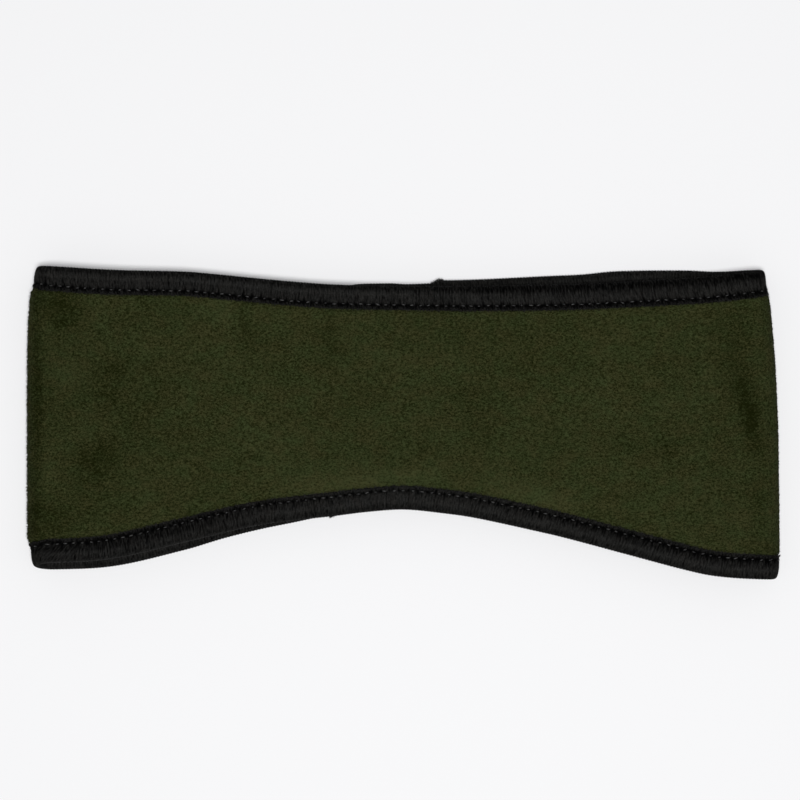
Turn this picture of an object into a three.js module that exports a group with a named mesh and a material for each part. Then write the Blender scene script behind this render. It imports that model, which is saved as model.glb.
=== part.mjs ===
// Ear warmer headband, lying flat: a ring of fleece that is wide over the ears and narrow at the
// forehead and the back of the head, with a ribbed elastic tape folded over each of its two edges.
// Millimetres, +Z up. It lies on the plane z = 0: the front layer is on top, the back layer is
// underneath, and the ring turns over in a soft fold at its left and right ends. +X runs along the
// band, and +Y points to the edge that sits on top when it is worn.
import * as THREE from "three";

// The band, flat from fold to fold and over both tapes at its tallest.
const bandLength = 250;
const bandHeight = 104;
const topDip = 6.5; // how far the top edge dips between its corners
const footArch = 23.2; // how far the foot edge arches up between its corners

// The fleece, at its full loft and pressed flat under the tape.
const fleeceThickness = 2.6;
const hemThickness = 1.6;
const loftRun = 1.4; // distance past the tape in which it swells to its full loft
const settleRun = 9; // distance past the tape in which the back layer settles on the plane
const rimShare = 0.4; // thickness of its rounded rim, as a share of its hem's

// The tape, which is folded round the fleece's edge and sewn through both of its flaps.
const tapeWidth = 7.8;
const tapeThickness = 0.7;
const sewnGap = 0.3; // clearance between the tape and the fleece in it
const tapeJointGap = 0.5; // between the tape's two cut ends
const tapeStep = 1.3; // how far one cut end stands out past the other
const topStepRun = 13; // length in which that step dies away on the top tape
const footStepRun = 3; // and on the foot tape

// The clear height inside the ring, between the tapes of its two layers. It grows from the middle
// to the folds, from a place that is a share of half the band's length away from the centre.
const middleOpening = 5.4;
const foldOpening = 7.4;
const openingGrowsAt = 0.45;

// The seam at the centre of the back, where the two ends of the fleece strip are sewn together.
const seamGroove = 2.4;
const seamDepth = 0.4;

const dentDepth = 0.7; // the deepest of the soft dents in the front layer

// Where each tape's cut ends meet on the back layer, as a share of half the band's length.
const topJointAt = 0.08;
const footJointAt = -0.209;

// The outline of both layers, from the left fold to the right one. "at" is a share of half the
// length. The top columns are shares of topDip below the top corners, and the foot columns are
// shares of footArch above the foot corners. The back layer lies a little askew under the front.
const outline = [
  { at: -1.0, frontTop: 0.0, backTop: 0.05, frontFoot: 0.245, backFoot: 0.125 },
  { at: -0.8, frontTop: 0.2, backTop: 0.34, frontFoot: 0.3, backFoot: 0.17 },
  { at: -0.6, frontTop: 0.3, backTop: 0.52, frontFoot: 0.535, backFoot: 0.41 },
  { at: -0.5, frontTop: 0.446, backTop: 0.659, frontFoot: 0.659, backFoot: 0.566 },
  { at: -0.4, frontTop: 0.62, backTop: 0.8, frontFoot: 0.77, backFoot: 0.695 },
  { at: -0.3, frontTop: 0.788, backTop: 0.92, frontFoot: 0.844, backFoot: 0.803 },
  { at: -0.2, frontTop: 0.94, backTop: 1.0, frontFoot: 0.905, backFoot: 0.92 },
  { at: -0.1, frontTop: 1.0, backTop: 0.92, frontFoot: 0.972, backFoot: 1.02 },
  { at: 0.0, frontTop: 1.03, backTop: 0.895, frontFoot: 1.005, backFoot: 1.065 },
  { at: 0.1, frontTop: 1.03, backTop: 0.82, frontFoot: 0.955, backFoot: 1.02 },
  { at: 0.2, frontTop: 1.03, backTop: 0.7, frontFoot: 0.88, backFoot: 0.94 },
  { at: 0.4, frontTop: 0.97, backTop: 0.49, frontFoot: 0.65, backFoot: 0.7 },
  { at: 0.5, frontTop: 0.898, backTop: 0.395, frontFoot: 0.51, backFoot: 0.558 },
  { at: 0.6, frontTop: 0.81, backTop: 0.225, frontFoot: 0.365, backFoot: 0.41 },
  { at: 0.8, frontTop: 0.62, backTop: 0.2, frontFoot: 0.095, backFoot: 0.125 },
  { at: 0.88, frontTop: 0.5, backTop: 0.25, frontFoot: 0.035, backFoot: 0.06 },
  { at: 1.0, frontTop: 0.23, backTop: 0.12, frontFoot: 0.0, backFoot: 0.01 },
];

// The two folds seen from above, from the foot edge to the top edge. Each column is a share of
// half the length. The tapes hold the folds in, and the fleece between them bulges out.
const foldLine = [
  { across: 0.0, left: 0.9845, right: 0.992 },
  { across: 0.045, left: 0.9885, right: 0.9965 },
  { across: 0.0625, left: 0.993, right: 0.9975 },
  { across: 0.0715, left: 0.998, right: 0.9985 },
  { across: 0.12, left: 0.999, right: 0.999 },
  { across: 0.45, left: 1.0, right: 0.996 },
  { across: 0.58, left: 1.0, right: 0.9925 },
  { across: 0.71, left: 0.999, right: 0.987 },
  { across: 0.83, left: 0.9965, right: 0.979 },
  { across: 0.9, left: 0.992, right: 0.973 },
  { across: 0.925, left: 0.9885, right: 0.969 },
  { across: 0.936, left: 0.988, right: 0.967 },
  { across: 0.946, left: 0.983, right: 0.965 },
  { across: 0.96, left: 0.981, right: 0.961 },
  { across: 1.0, left: 0.975, right: 0.958 },
];

// Soft dents in the front layer. "at" and "along" are shares of half the length, "across" and
// "wide" are shares of the height, and "depth" is a share of dentDepth.
const dents = [
  { at: 0.93, across: 0.53, along: 0.024, wide: 0.1, depth: 1.0 },
  { at: 0.71, across: 0.4, along: 0.05, wide: 0.06, depth: 0.5 },
  { at: -0.82, across: 0.35, along: 0.05, wide: 0.07, depth: 0.7 },
  { at: -0.77, across: 0.62, along: 0.05, wide: 0.05, depth: 0.6 },
  { at: -0.905, across: 0.84, along: 0.045, wide: 0.05, depth: 0.6 },
  { at: -0.41, across: 0.75, along: 0.04, wide: 0.05, depth: 0.4 },
];

const frontSteps = 32;
const foldSteps = 10;
const tapeTurnSteps = 5;

const fleeceHalf = fleeceThickness / 2;
const hemHalf = hemThickness / 2;
const tapeHalf = hemHalf + sewnGap + tapeThickness; // from the middle of the wall to the tape's face
const tapeReach = tapeHalf - hemHalf; // from the fleece's rim to the tape's fold
const tapeEdge = tapeWidth - tapeReach; // from the fleece's rim to the tape's own edge
const freeFrom = tapeEdge + sewnGap; // from the fleece's rim to where it swells past the tape
const halfRun = bandLength / 2 - fleeceHalf; // from the centre to the middle of the wall in a fold
const foldRadius = foldOpening / 2 + tapeHalf;
const layerRun = halfRun - foldRadius; // from the centre to where a fold begins
const foldRun = Math.PI * foldRadius;
const loopRun = 4 * layerRun + 2 * foldRun;

// Reads one column of a table at any place between its rows, on a smooth curve through them.
function readColumn(table, place, column, where) {
  const last = table.length - 1;
  let row = 0;
  while (row < last - 1 && table[row + 1][place] <= where) row++;
  const [before, from, to, after] = [-1, 0, 1, 2].map(
    (step) => table[THREE.MathUtils.clamp(row + step, 0, last)],
  );
  const span = to[place] - from[place];
  const share = THREE.MathUtils.clamp((where - from[place]) / span, 0, 1);
  const leaving = ((to[column] - before[column]) / (to[place] - before[place])) * span;
  const arriving = ((after[column] - from[column]) / (after[place] - from[place])) * span;
  const square = share * share;
  const cube = square * share;
  return (
    from[column] * (2 * cube - 3 * square + 1) +
    to[column] * (3 * square - 2 * cube) +
    leaving * (cube - 2 * square + share) +
    arriving * (cube - square)
  );
}

// A place on the ring, by its run in mm from the centre of the back, towards the right fold
// first. "at" is its share of half the length, and "lift" goes from 0, the back layer, to 1.
function loopPlace(run) {
  const wrapped = THREE.MathUtils.euclideanModulo(run, loopRun);
  const mirrored = wrapped > loopRun / 2;
  const half = mirrored ? loopRun - wrapped : wrapped;
  const side = mirrored ? -1 : 1;
  if (half < layerRun) return { at: (side * half) / halfRun, lift: 0 };
  if (half > layerRun + foldRun) {
    const left = loopRun / 2 - half;
    return { at: (side * left) / halfRun, lift: 1 };
  }
  const turn = ((half - layerRun) / foldRun) * Math.PI;
  const reach = layerRun + foldRadius * Math.sin(turn);
  return { at: (side * reach) / halfRun, lift: (1 - Math.cos(turn)) / 2 };
}

// The two edges of the fleece at a place on the ring, as heights in Y.
function fleeceEdges({ at, lift }) {
  const column = (name) => readColumn(outline, "at", name, at);
  const dip = THREE.MathUtils.lerp(column("backTop"), column("frontTop"), lift);
  const arch = THREE.MathUtils.lerp(column("backFoot"), column("frontFoot"), lift);
  return {
    top: bandHeight / 2 - topDip * dip - tapeReach,
    foot: -bandHeight / 2 + footArch * arch + tapeReach,
  };
}

// How far the front layer's wall is above the back layer's: it is held up by the folds, and
// settles between them.
function layerLift(at) {
  const ends = THREE.MathUtils.smoothstep(Math.abs(at), openingGrowsAt, layerRun / halfRun);
  return THREE.MathUtils.lerp(middleOpening, foldOpening, ends) + 2 * tapeHalf;
}

function dentAt(at, across) {
  return dents.reduce((sum, dent) => {
    const along = (at - dent.at) / dent.along;
    const wide = (across - dent.across) / dent.wide;
    return sum + dentDepth * dent.depth * Math.exp(-along * along - wide * wide);
  }, 0);
}

// A point of the fleece's middle surface. "across" goes from 0 at its foot edge to 1 at its top.
function wallPoint(run, across) {
  const place = loopPlace(run);
  const edges = fleeceEdges(place);
  const reach = readColumn(foldLine, "across", place.at < 0 ? "left" : "right", across);
  const fromEdge = Math.min(across, 1 - across) * (edges.top - edges.foot);
  const settled = THREE.MathUtils.smoothstep(fromEdge, freeFrom, freeFrom + settleRun);
  const back = THREE.MathUtils.lerp(tapeHalf, fleeceHalf, settled);
  const front = tapeHalf + layerLift(place.at) - dentAt(place.at, across);
  return new THREE.Vector3(
    place.at * reach * halfRun,
    THREE.MathUtils.lerp(edges.foot, edges.top, across),
    THREE.MathUtils.lerp(back, front, place.lift),
  );
}

// The middle surface at a point, with its outward normal and its two tangents.
function wallFrame(run, across) {
  const runStep = 0.05;
  const acrossStep = 0.0005;
  const low = Math.max(across - acrossStep, 0);
  const high = Math.min(across + acrossStep, 1);
  const alongRun = wallPoint(run + runStep, across)
    .sub(wallPoint(run - runStep, across))
    .divideScalar(2 * runStep);
  const alongAcross = wallPoint(run, high).sub(wallPoint(run, low)).divideScalar(high - low);
  const normal = new THREE.Vector3().crossVectors(alongAcross, alongRun).normalize();
  return { point: wallPoint(run, across), normal, alongRun, alongAcross };
}

// A frame on the middle surface at a distance from the fleece's top or foot edge, measured
// square to that edge. "out" points off the fleece, square to the edge.
function frameFromEdge(run, edge, distance) {
  const rim = wallFrame(run, edge);
  const out = new THREE.Vector3().crossVectors(rim.normal, rim.alongRun).normalize();
  if (out.dot(rim.alongAcross) * (edge - 0.5) < 0) out.negate();
  const skew = rim.alongRun.dot(rim.alongAcross) / rim.alongRun.lengthSq();
  const squared = rim.alongAcross.lengthSq() - skew * skew * rim.alongRun.lengthSq();
  const across = (-distance * out.dot(rim.alongAcross)) / squared;
  return { ...wallFrame(run - across * skew, edge + across), out };
}

// The places along the ring at which its sections stand, from one run to another.
function sectionRuns(from, to) {
  const runs = [];
  for (let lap = -loopRun; lap < 2 * loopRun; lap += loopRun) {
    for (let step = 0; step < frontSteps; step++) {
      const run = (2 * layerRun * step) / frontSteps;
      runs.push(lap - layerRun + run, lap + layerRun + foldRun + run);
    }
    for (let step = 0; step < foldSteps; step++) {
      const run = (foldRun * step) / foldSteps;
      runs.push(lap + layerRun + run, lap + 3 * layerRun + foldRun + run);
    }
  }
  const least = (2 * layerRun) / frontSteps / 4;
  const between = runs.filter((run) => run > from + least && run < to - least);
  return [from, ...between.sort((a, b) => a - b), to];
}

// A wall from its sections, each with a row of points on its outer face and as many on its
// inner face. A closed ring joins the last section to the first, and a strip has two cut ends.
function wallGeometry(sections, closed) {
  const rows = sections[0].outer.length;
  const points = sections.flatMap((section) => [...section.outer, ...section.inner]);
  const outer = (section, row) => (section % sections.length) * 2 * rows + row;
  const inner = (section, row) => outer(section, row) + rows;
  const index = [];
  const quad = (a, b, c, d) => index.push(a, b, c, a, c, d);
  const spans = closed ? sections.length : sections.length - 1;
  for (let s = 0; s < spans; s++) {
    for (let r = 0; r < rows - 1; r++) {
      quad(outer(s, r), outer(s, r + 1), outer(s + 1, r + 1), outer(s + 1, r));
      quad(inner(s, r + 1), inner(s, r), inner(s + 1, r), inner(s + 1, r + 1));
    }
    quad(inner(s, 0), outer(s, 0), outer(s + 1, 0), inner(s + 1, 0));
    quad(outer(s, rows - 1), inner(s, rows - 1), inner(s + 1, rows - 1), outer(s + 1, rows - 1));
  }
  for (let r = 0; r < rows - 1 && !closed; r++) {
    const end = sections.length - 1;
    quad(outer(0, r + 1), outer(0, r), inner(0, r), inner(0, r + 1));
    quad(outer(end, r), outer(end, r + 1), inner(end, r + 1), inner(end, r));
  }
  const geometry = new THREE.BufferGeometry().setFromPoints(points);
  geometry.setIndex(index);
  geometry.computeVertexNormals();
  return geometry;
}

// The fleece: one strip, sewn into a ring at the centre of the back. Its wall is thin under the
// tapes, swells to its full loft past them, and is drawn in on both faces along the seam.
function fleeceBand() {
  const hemLines = [0, hemHalf, freeFrom, freeFrom + loftRun, freeFrom + settleRun];
  const middleLines = [1 / 3, 1 / 2, 2 / 3];
  const halfAt = (run, fromEdge) => {
    const toRim = THREE.MathUtils.clamp(fromEdge / hemHalf, rimShare, 1);
    const loft = THREE.MathUtils.smoothstep(fromEdge, freeFrom, freeFrom + loftRun);
    const fromSeam = Math.min(run, loopRun - run);
    const drawn = fromSeam < seamGroove / 4 ? seamDepth * loft : 0;
    return THREE.MathUtils.lerp(hemHalf, fleeceHalf, loft) * toRim - drawn;
  };
  const face = ({ point, normal }, half) => point.clone().addScaledVector(normal, half);
  const section = (run) => {
    const deepest = freeFrom + settleRun;
    const foot = frameFromEdge(run, 0, deepest);
    const top = frameFromEdge(run, 1, deepest);
    const { foot: footY, top: topY } = fleeceEdges(loopPlace(run));
    const footShare = (foot.point.y - footY) / (topY - footY);
    const topShare = (top.point.y - footY) / (topY - footY);
    const lines = [
      ...hemLines.map((line) => [frameFromEdge(run, 0, line), line]),
      ...middleLines.map((share) => [
        wallFrame(run, THREE.MathUtils.lerp(footShare, topShare, share)),
        deepest,
      ]),
      ...hemLines.toReversed().map((line) => [frameFromEdge(run, 1, line), line]),
    ];
    return {
      outer: lines.map(([frame, line]) => face(frame, halfAt(run, line))),
      inner: lines.map(([frame, line]) => face(frame, -halfAt(run, line))),
    };
  };
  const pastSeam = sectionRuns(seamGroove / 2, loopRun - seamGroove / 2);
  return wallGeometry([0, ...pastSeam].map(section), true);
}

// A tape: a strip folded lengthwise over one edge of the fleece, once round the ring. It starts
// and ends on the back layer, where its starting end stands out a little past the other.
function tape(edge, jointAt, stepRun) {
  const joint = jointAt * halfRun;
  const first = joint + tapeJointGap / 2;
  const turns = Array.from({ length: tapeTurnSteps + 1 }, (_, step) => (Math.PI * step) / tapeTurnSteps);
  const section = (run) => {
    const step = tapeStep * Math.exp(-(run - first) / stepRun);
    const fold = frameFromEdge(run, edge, hemHalf);
    const flap = frameFromEdge(run, edge, tapeEdge);
    const point = (frame, turn, half) =>
      frame.point
        .clone()
        .addScaledVector(frame.normal, half * Math.cos(turn))
        .addScaledVector(frame.out, half * Math.sin(turn) + step);
    const face = (half) => [
      point(flap, 0, half),
      ...turns.map((turn) => point(fold, turn, half)),
      point(flap, Math.PI, half),
    ];
    const sides = [face(tapeHalf), face(tapeHalf - tapeThickness)];
    if (edge === 0) sides.forEach((side) => side.reverse());
    return { outer: sides[0], inner: sides[1] };
  };
  return wallGeometry(sectionRuns(first, first + loopRun - tapeJointGap).map(section), false);
}

const fleece = new THREE.MeshStandardMaterial({ color: 0x2b2e19, roughness: 0.95, metalness: 0 });
const elastic = new THREE.MeshStandardMaterial({ color: 0x1c1c1a, roughness: 0.7, metalness: 0 });

const headband = new THREE.Group();
const add = (name, geometry, material) => {
  const mesh = new THREE.Mesh(geometry, material);
  mesh.name = name;
  headband.add(mesh);
};
add("fleece_band", fleeceBand(), fleece);
add("top_binding", tape(1, topJointAt, topStepRun), elastic);
add("foot_binding", tape(0, footJointAt, footStepRun), elastic);

// The origin is the centre of the band's outline, on the plane that it lies on.
const extent = new THREE.Box3().setFromObject(headband);
const centre = extent.getCenter(new THREE.Vector3());
headband.children.forEach((mesh) => mesh.position.set(-centre.x, -centre.y, -extent.min.z));

export default headband;
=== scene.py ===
import math

import bmesh
import bpy
import numpy as np
from mathutils import Matrix, Vector, noise


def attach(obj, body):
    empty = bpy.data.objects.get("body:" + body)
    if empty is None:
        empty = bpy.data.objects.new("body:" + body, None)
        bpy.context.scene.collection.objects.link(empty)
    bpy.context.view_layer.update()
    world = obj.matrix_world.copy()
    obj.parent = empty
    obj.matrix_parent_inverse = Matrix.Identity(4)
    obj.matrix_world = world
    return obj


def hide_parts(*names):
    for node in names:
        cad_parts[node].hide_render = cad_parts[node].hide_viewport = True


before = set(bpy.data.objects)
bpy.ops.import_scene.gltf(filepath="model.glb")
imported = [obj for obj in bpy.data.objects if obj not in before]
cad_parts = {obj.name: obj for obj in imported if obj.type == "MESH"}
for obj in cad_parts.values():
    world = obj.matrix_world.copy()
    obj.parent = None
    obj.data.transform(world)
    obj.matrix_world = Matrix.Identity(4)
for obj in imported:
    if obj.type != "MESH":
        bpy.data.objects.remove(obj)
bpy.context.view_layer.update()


# The fleece is one strip of brushed fleece, sewn into a ring at the centre of the back. It lies flat,
# front layer on top, and turns over in a soft fold at its left and right ends. It is thin under the
# tapes and swells past them.
MM = 0.001

band_length = 250 * MM
band_height = 104 * MM
top_dip = 6.5 * MM  # how far the top edge dips between its corners
foot_arch = 23.2 * MM  # how far the foot edge arches up between its corners

fleece_thickness = 2.6 * MM
hem_thickness = 1.6 * MM  # where the tape presses it flat
loft_run = 1.4 * MM  # distance past the tape in which it swells to its full loft
settle_run = 9 * MM  # distance past the tape in which the back layer settles on the surface

tape_width = 7.8 * MM
tape_thickness = 0.7 * MM
sewn_gap = 0.3 * MM

middle_opening = 5.4 * MM  # between the tapes of the two layers
fold_opening = 7.4 * MM
opening_grows_at = 0.45

seam_groove = 1.6 * MM
seam_depth = 0.6 * MM

dent_depth = 0.7 * MM
billow_depth = 0.22 * MM  # of the wide soft waves in the front layer
billow_waves = ((17, 4, 0), (11, -9, 2), (29, 0, 1))  # turns along, turns across and start of each
clump_depth = 0.07 * MM  # of the small uneven clumps of the pile
clump_sizes = ((2.6 * MM, 1.0), (1.1 * MM, 0.6))  # and the share that each size has
rim_share = 0.12  # how round the hem's rim is: the least share of its run that counts
on_floor = 0.02 * MM  # how close cloth comes to the surface that it lies on

outline = dict(zip(
    ("at", "front_top", "back_top", "front_foot", "back_foot"),
    np.array([
        (-1.0, 0.0, 0.05, 0.245, 0.125),
        (-0.8, 0.2, 0.34, 0.3, 0.17),
        (-0.6, 0.3, 0.52, 0.535, 0.41),
        (-0.5, 0.446, 0.659, 0.659, 0.566),
        (-0.4, 0.62, 0.8, 0.77, 0.695),
        (-0.3, 0.788, 0.92, 0.844, 0.803),
        (-0.2, 0.94, 1.0, 0.905, 0.92),
        (-0.1, 1.0, 0.92, 0.972, 1.02),
        (0.0, 1.03, 0.895, 1.005, 1.065),
        (0.1, 1.03, 0.82, 0.955, 1.02),
        (0.2, 1.03, 0.7, 0.88, 0.94),
        (0.4, 0.97, 0.49, 0.65, 0.7),
        (0.5, 0.898, 0.395, 0.51, 0.558),
        (0.6, 0.81, 0.225, 0.365, 0.41),
        (0.8, 0.62, 0.2, 0.095, 0.125),
        (0.88, 0.5, 0.25, 0.035, 0.06),
        (1.0, 0.23, 0.12, 0.0, 0.01),
    ]).T,
))
fold_line = dict(zip(
    ("across", "left", "right"),
    np.array([
        (0.0, 0.9845, 0.992),
        (0.045, 0.9885, 0.9965),
        (0.0625, 0.993, 0.9975),
        (0.0715, 0.998, 0.9985),
        (0.12, 0.999, 0.999),
        (0.45, 1.0, 0.996),
        (0.58, 1.0, 0.9925),
        (0.71, 0.999, 0.987),
        (0.83, 0.9965, 0.979),
        (0.9, 0.992, 0.973),
        (0.925, 0.9885, 0.969),
        (0.936, 0.988, 0.967),
        (0.946, 0.983, 0.965),
        (0.96, 0.981, 0.961),
        (1.0, 0.975, 0.958),
    ]).T,
))
dent_columns = ("at", "across", "along", "wide", "depth")
dents = [
    (0.93, 0.53, 0.024, 0.1, 1.0),
    (0.71, 0.4, 0.05, 0.06, 0.5),
    (-0.82, 0.35, 0.05, 0.07, 0.7),
    (-0.77, 0.62, 0.05, 0.05, 0.6),
    (-0.905, 0.84, 0.045, 0.05, 0.6),
    (-0.41, 0.75, 0.04, 0.05, 0.4),
]

fleece_half = fleece_thickness / 2
hem_half = hem_thickness / 2
tape_half = hem_half + sewn_gap + tape_thickness
tape_reach = tape_half - hem_half  # from the fleece's rim to the tape's fold
tape_edge = tape_width - tape_reach  # from the fleece's rim to the tape's own edge
free_from = tape_edge + sewn_gap
half_run = band_length / 2 - fleece_half
fold_radius = fold_opening / 2 + tape_half
layer_run = half_run - fold_radius
fold_run = math.pi * fold_radius
loop_run = 4 * layer_run + 2 * fold_run

# How much narrower the foot tape and the top one are drawn where they turn over the left fold, as
# shares of their width at places along the band.
turn_shares = (((-1, -0.98), (0, 0)), ((-1, -0.98), (-0.1, 0)))

# Each tape's two cut ends overlap on the back layer, which they lift a little there.
top_joint = 0.08 * half_run
foot_joint = -0.209 * half_run
joint_lift = 0.6 * MM
joint_reach = 11 * MM  # the lift's middle lies a third of this past the joint


def read_column(table, place, column, where):
    """One column of a table at any places between its rows, on a smooth curve through them."""
    at, value = table[place], table[column]
    last = len(at) - 1
    row = np.clip(np.searchsorted(at, where, side="right") - 1, 0, last - 1)
    before, after = np.maximum(row - 1, 0), np.minimum(row + 2, last)
    span = at[row + 1] - at[row]
    share = np.clip((where - at[row]) / span, 0, 1)
    leaving = (value[row + 1] - value[before]) / (at[row + 1] - at[before]) * span
    arriving = (value[after] - value[row]) / (at[after] - at[row]) * span
    square, cube = share**2, share**3
    return (
        value[row] * (2 * cube - 3 * square + 1)
        + value[row + 1] * (3 * square - 2 * cube)
        + leaving * (cube - 2 * square + share)
        + arriving * (cube - square)
    )


def smooth_step(value, low, high):
    share = np.clip((value - low) / (high - low), 0, 1)
    return share * share * (3 - 2 * share)


def mix(low, high, share):
    return low + (high - low) * share


def run_from(run, place):
    """The signed run from a place on the ring, the short way round."""
    return np.mod(run - place + loop_run / 2, loop_run) - loop_run / 2


def loop_place(run):
    """A place on the ring by its run from the centre of the back: its share of half the length, and
    its lift, from 0 on the back layer to 1 on the front one."""
    run = np.mod(run, loop_run)
    mirrored = run > loop_run / 2
    half = np.where(mirrored, loop_run - run, run)
    turn = np.clip((half - layer_run) / fold_run, 0, 1) * np.pi
    reach = layer_run + fold_radius * np.sin(turn)
    reach = np.where(half < layer_run, half, reach)
    reach = np.where(half > layer_run + fold_run, loop_run / 2 - half, reach)
    return np.where(mirrored, -reach, reach) / half_run, (1 - np.cos(turn)) / 2


def fleece_edges(at, lift):
    dip = mix(*(read_column(outline, "at", name, at) for name in ("back_top", "front_top")), lift)
    arch = mix(*(read_column(outline, "at", name, at) for name in ("back_foot", "front_foot")), lift)
    top = band_height / 2 - top_dip * dip - tape_reach
    foot = -band_height / 2 + foot_arch * arch + tape_reach
    return foot, top


def soft_patches(table, at, across):
    """The sum of a table's soft patches at a place: each one's depth where its middle is."""
    depth = np.zeros(np.broadcast(at, across).shape)
    for row in table:
        dent = dict(zip(dent_columns, row))
        along = (at - dent["at"]) / dent["along"]
        wide = (across - dent["across"]) / dent["wide"]
        depth = depth + dent["depth"] * np.exp(-along**2 - wide**2)
    return depth


def wall_point(run, across):
    """A point of the fleece's middle surface, from 0 at its foot edge to 1 at its top edge."""
    at, lift = loop_place(run)
    foot, top = fleece_edges(at, lift)
    reach = np.where(
        at < 0,
        read_column(fold_line, "across", "left", across),
        read_column(fold_line, "across", "right", across),
    )
    from_edge = np.minimum(across, 1 - across) * (top - foot)
    settled = smooth_step(from_edge, free_from, free_from + settle_run)
    back = mix(tape_half, fleece_half, settled)
    for joint, edge_share in ((top_joint, 1 - across), (foot_joint, across)):
        past = (run_from(run, joint + joint_reach / 3) / joint_reach) ** 2
        inward = (edge_share * (top - foot) / (2 * tape_width)) ** 2
        back = back + joint_lift * np.exp(-past - inward)
    ends = smooth_step(np.abs(at), opening_grows_at, layer_run / half_run)
    front = tape_half + mix(middle_opening, fold_opening, ends) + 2 * tape_half
    front = front - dent_depth * soft_patches(dents, at, across)
    billow = sum(np.sin(along * at + wide * across + start) for along, wide, start in billow_waves)
    front = front + billow_depth / len(billow_waves) * billow
    return np.stack([
        at * reach * half_run,
        mix(foot, top, across),
        mix(back, front, lift),
    ], axis=-1)


def dot(a, b):
    return np.sum(a * b, axis=-1, keepdims=True)


def unit(vectors):
    return vectors / np.linalg.norm(vectors, axis=-1, keepdims=True)


def wall_frame(run, across):
    """The middle surface at a place: its point, outward normal and its two tangents."""
    run_step = 0.05 * MM
    share_step = 0.0005
    low = np.maximum(across - share_step, 0)
    high = np.minimum(across + share_step, 1)
    ahead, behind = wall_point(run + run_step, across), wall_point(run - run_step, across)
    along_run = (ahead - behind) / (2 * run_step)
    along_across = (wall_point(run, high) - wall_point(run, low)) / (high - low)[..., None]
    return wall_point(run, across), unit(np.cross(along_across, along_run)), along_run, along_across


def in_from_edge(run, edge, distance):
    """The run and the share across of a place that is a distance in from the fleece's foot edge, 0, or
    its top edge, 1, square to it, and the direction that points off the fleece there."""
    edges = np.full(np.shape(run), float(edge))
    _, normal, along_run, along_across = wall_frame(run, edges)
    out = unit(np.cross(normal, along_run))
    out = out * np.sign(dot(out, along_across)) * (1 if edge else -1)
    skew = dot(along_run, along_across) / dot(along_run, along_run)
    squared = dot(along_across, along_across) - skew**2 * dot(along_run, along_run)
    across = (-distance[..., None] * dot(out, along_across) / squared)[..., 0]
    return run - across * skew[..., 0], edge + across, out


def steps(start, *stretches):
    """Places along a line, in stretches that each have an end and a greatest step of their own."""
    places = [start]
    for end, step in stretches:
        count = max(1, math.ceil((end - places[-1]) / step))
        places += list(np.linspace(places[-1], end, count + 1)[1:])
    return np.array(places)


merge_distance = 0.001 * MM


def wall_mesh(name, points, pattern_size, marks=None):
    """A mesh of one grid of points, rows by columns, with a UV map of the size that is given and with
    named marks at its points. What meets is merged, and the open ends of a strip are filled."""
    rows, columns = points.shape[0] - 1, points.shape[1] - 1
    shape = bmesh.new()
    shape.loops.layers.uv.new("lay")
    bmesh.ops.create_grid(shape, x_segments=columns, y_segments=rows, size=0.5, calc_uvs=True)
    for vertex, point in zip(shape.verts, points.reshape(-1, 3).tolist()):
        vertex.co = point
    for mark, values in (marks or {}).items():
        layer = shape.verts.layers.float.new(mark)
        for vertex, value in zip(shape.verts, values.ravel().tolist()):
            vertex[layer] = min(max(value, 0), 1)
    lay = shape.loops.layers.uv.active
    for face in shape.faces:
        for corner in face.loops:
            u, v = corner[lay].uv
            corner[lay].uv = (u * pattern_size[0], v * pattern_size[1])
    bmesh.ops.remove_doubles(shape, verts=shape.verts, dist=merge_distance)
    open_edges = [edge for edge in shape.edges if edge.is_boundary]
    ends = bmesh.ops.holes_fill(shape, edges=open_edges, sides=0)["faces"]
    bmesh.ops.triangulate(shape, faces=ends, ngon_method="EAR_CLIP")
    if shape.calc_volume(signed=True) < 0:
        bmesh.ops.reverse_faces(shape, faces=shape.faces)
    mesh = bpy.data.meshes.new(name)
    shape.to_mesh(mesh)
    shape.free()
    mesh.shade_smooth()
    return mesh


def new_piece(name, mesh, material):
    piece = bpy.data.objects.new(name, mesh)
    bpy.context.scene.collection.objects.link(piece)
    mesh.materials.append(material)
    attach(piece, "root")
    return piece


def wobble(points, size):
    """Smooth noise from -1 to 1 at each point, with bumps of about the size that is given."""
    flat = points.reshape(-1, 3) / size
    return np.array([noise.noise(point) for point in flat.tolist()]).reshape(points.shape[:-1])


# The columns of points round the ring lie closest at the seam and close in the folds. The rows across
# it, by their distance in mm from the nearer edge, lie closest at the rim and where the tape ends.
columns = steps(
    0,
    (3 * MM, 0.3 * MM),
    (layer_run, 1.0 * MM),
    (layer_run + fold_run, 0.6 * MM),
    (3 * layer_run + fold_run, 0.9 * MM),
    (3 * layer_run + 2 * fold_run, 0.6 * MM),
    (loop_run - 3 * MM, 1.0 * MM),
    (loop_run, 0.3 * MM),
)
rim_rows = [0, 0.25, 0.5, 0.8, 1.6, 3.2, 5]
loft_rows = [6.4, 6.8, 7.1, 7.4, 7.75, 8.15, 9, 10, 11.3, 13, 16.1]
hem_rows = np.array(rim_rows + loft_rows) * MM
inner_hem_rows = np.array([0, 0.4, 0.8, 3.2, 6.8, 7.7, 9, 16.1]) * MM
outer_middle = 62  # rows between the hems on the outer face
inner_middle = 22


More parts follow.
